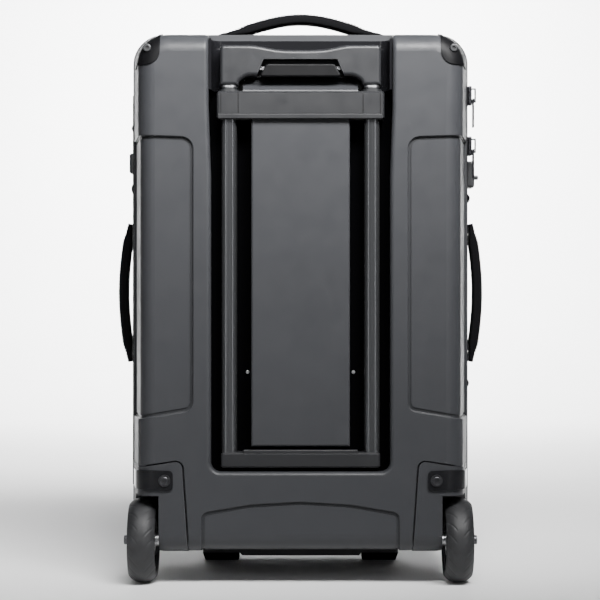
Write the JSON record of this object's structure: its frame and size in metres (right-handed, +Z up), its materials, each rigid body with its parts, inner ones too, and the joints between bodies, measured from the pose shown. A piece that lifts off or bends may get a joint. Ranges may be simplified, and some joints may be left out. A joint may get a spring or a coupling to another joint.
{
  "type": "wheeled trolley bag",
  "caption": "Upright trolley bag: moulded rear shell, telescoping handle, corner wheels, zipped soft front half that opens like a book.",
  "frame": {"origin": "centre of the floor contact area, under the middle of the bag's box", "axes": "+Z up, -Y the trolley side, +Y the soft front, +X to the right seen from the trolley side"},
  "size_m": [0.385, 0.2502, 0.58],
  "materials": {
    "shell_plastic": "fine matt moulded texture",
    "gloss_black": "polished moulded plastic",
    "satin_plastic": "satin moulded plastic",
    "dark_plastic": "dark moulded plastic",
    "tube_aluminium": "dark anodised, brushed lengthways",
    "steel": "brushed",
    "black_steel": "black oxide",
    "tyre_rubber": "matt rubber",
    "pad_rubber": "matt rubber",
    "body_fabric": "coated ballistic weave",
    "webbing": "ribbed webbing",
    "lining_fabric": "plain lining weave",
    "zip_metal": "black plated"
  },
  "bodies": {
    "hard_shell": {"axle_left": "black_steel", "axle_right": "black_steel", "axle_spacers": "steel", "corner_guard_left": "gloss_black", "corner_guard_right": "gloss_black", "fabric_hinge": "body_fabric", "guard_screws": "black_steel", "guide_bushes": "dark_plastic", "handle_cup": "gloss_black", "housing_bolts": "black_steel", "island_rivets": "steel", "lower_bracket": "satin_plastic", "outer_tube_left": "tube_aluminium", "outer_tube_right": "tube_aluminium", "packing_buckles": "dark_plastic", "packing_straps": "webbing", "rear_lining": "lining_fabric", "rear_shell": "shell_plastic", "rim_piping": "dark_plastic", "shell_zipper_tape": "webbing", "upper_bracket": "satin_plastic", "wheel_clip_left": "dark_plastic", "wheel_clip_right": "dark_plastic", "wheel_housing_left": "dark_plastic", "wheel_housing_right": "dark_plastic", "zipper_coil": "dark_plastic"},
    "wheel_left": {"tyre_left": "tyre_rubber", "hub_left": "dark_plastic", "bearings_left": "steel"},
    "wheel_right": {"tyre_right": "tyre_rubber", "hub_right": "dark_plastic", "bearings_right": "steel"},
    "trolley_middle": {"middle_tube_left": "tube_aluminium", "middle_tube_right": "tube_aluminium", "stage_collars": "dark_plastic"},
    "trolley_grip": {"inner_tube_left": "tube_aluminium", "inner_tube_right": "tube_aluminium", "grip_body": "gloss_black", "grip_cap": "gloss_black", "grip_collars": "steel"},
    "release": {"release_bar": "dark_plastic", "push_rods": "steel"},
    "soft_half": {"front_cover": "body_fabric", "cover_zipper_tape": "webbing", "front_pocket": "body_fabric", "pocket_zipper": "webbing", "foot_bar": "dark_plastic", "foot_pads": "pad_rubber", "handle_anchors": "webbing", "side_buckles": "dark_plastic", "webbing_loops": "webbing"},
    "handle_top": {"top_handle": "webbing"},
    "handle_left": {"side_handle_left": "webbing"},
    "handle_right": {"side_handle_right": "webbing"},
    "slider_upper": {"upper_slider": "zip_metal"},
    "slider_lower": {"lower_slider": "zip_metal"},
    "pull_upper": {"upper_pull": "zip_metal"},
    "pull_lower": {"lower_pull": "zip_metal"},
    "slider_pocket": {"pocket_slider": "zip_metal"},
    "pull_pocket": {"pocket_pull": "zip_metal"}
  },
  "joints": [
    {"name": "wheel_left_spin", "type": "hinge", "parent": "hard_shell", "child": "wheel_left", "pos_m": [-0.159, -0.0831, 0.042], "axis": [1, 0, 0], "continuous": true},
    {"name": "wheel_right_spin", "type": "hinge", "parent": "hard_shell", "child": "wheel_right", "pos_m": [0.159, -0.0831, 0.042], "axis": [1, 0, 0], "continuous": true},
    {"name": "trolley_lower_stage", "type": "slide", "parent": "hard_shell", "child": "trolley_middle", "axis": [0, 0, 1], "range_m": [0, 0.27]},
    {"name": "trolley_upper_stage", "type": "slide", "parent": "trolley_middle", "child": "trolley_grip", "axis": [0, 0, 1], "range_m": [0, 0.26]},
    {"name": "release_press", "type": "slide", "parent": "trolley_grip", "child": "release", "axis": [0, 0, 1], "range_m": [0, 0.004], "stiffness_N_per_m": 600, "springref_m": -0.006},
    {"name": "soft_half_hinge", "type": "hinge", "parent": "hard_shell", "child": "soft_half", "pos_m": [-0.1742, -0.0083, 0.29], "axis": [0, 0, 1], "range_deg": [0, 160]},
    {"name": "top_handle_flop", "type": "hinge", "parent": "soft_half", "child": "handle_top", "pos_m": [0, 0.0369, 0.55], "axis": [1, 0, 0], "range_deg": [-18, 18], "stiffness_Nm_per_rad": 0.8},
    {"name": "left_handle_flop", "type": "hinge", "parent": "soft_half", "child": "handle_left", "pos_m": [-0.1705, 0.0499, 0.287], "axis": [0, 0, 1], "range_deg": [-18, 18]},
    {"name": "right_handle_flop", "type": "hinge", "parent": "soft_half", "child": "handle_right", "pos_m": [0.1705, 0.0499, 0.287], "axis": [0, 0, 1], "range_deg": [-18, 18]},
    {"name": "upper_slider_travel", "type": "slide", "parent": "hard_shell", "child": "slider_upper", "axis": [0, 0, 1], "range_m": [-0.007, 0.018]},
    {"name": "lower_slider_travel", "type": "slide", "parent": "hard_shell", "child": "slider_lower", "axis": [0, 0, 1], "range_m": [-0.36, 0.006]},
    {"name": "upper_pull_swing", "type": "hinge", "parent": "slider_upper", "child": "pull_upper", "pos_m": [0.178, -0.0086, 0.4862], "axis": [0, -1, 0], "range_deg": [0, 120]},
    {"name": "lower_pull_swing", "type": "hinge", "parent": "slider_lower", "child": "pull_lower", "pos_m": [0.178, -0.0086, 0.4342], "axis": [0, -1, 0], "range_deg": [0, 120]},
    {"name": "pocket_slider_travel", "type": "slide", "parent": "soft_half", "child": "slider_pocket", "axis": [1, 0, 0], "range_m": [-0.224, 0.004]},
    {"name": "pocket_pull_swing", "type": "hinge", "parent": "slider_pocket", "child": "pull_pocket", "pos_m": [0.112, 0.1222, 0.44], "axis": [1, 0, 0], "range_deg": [0, 120]}
  ]
}
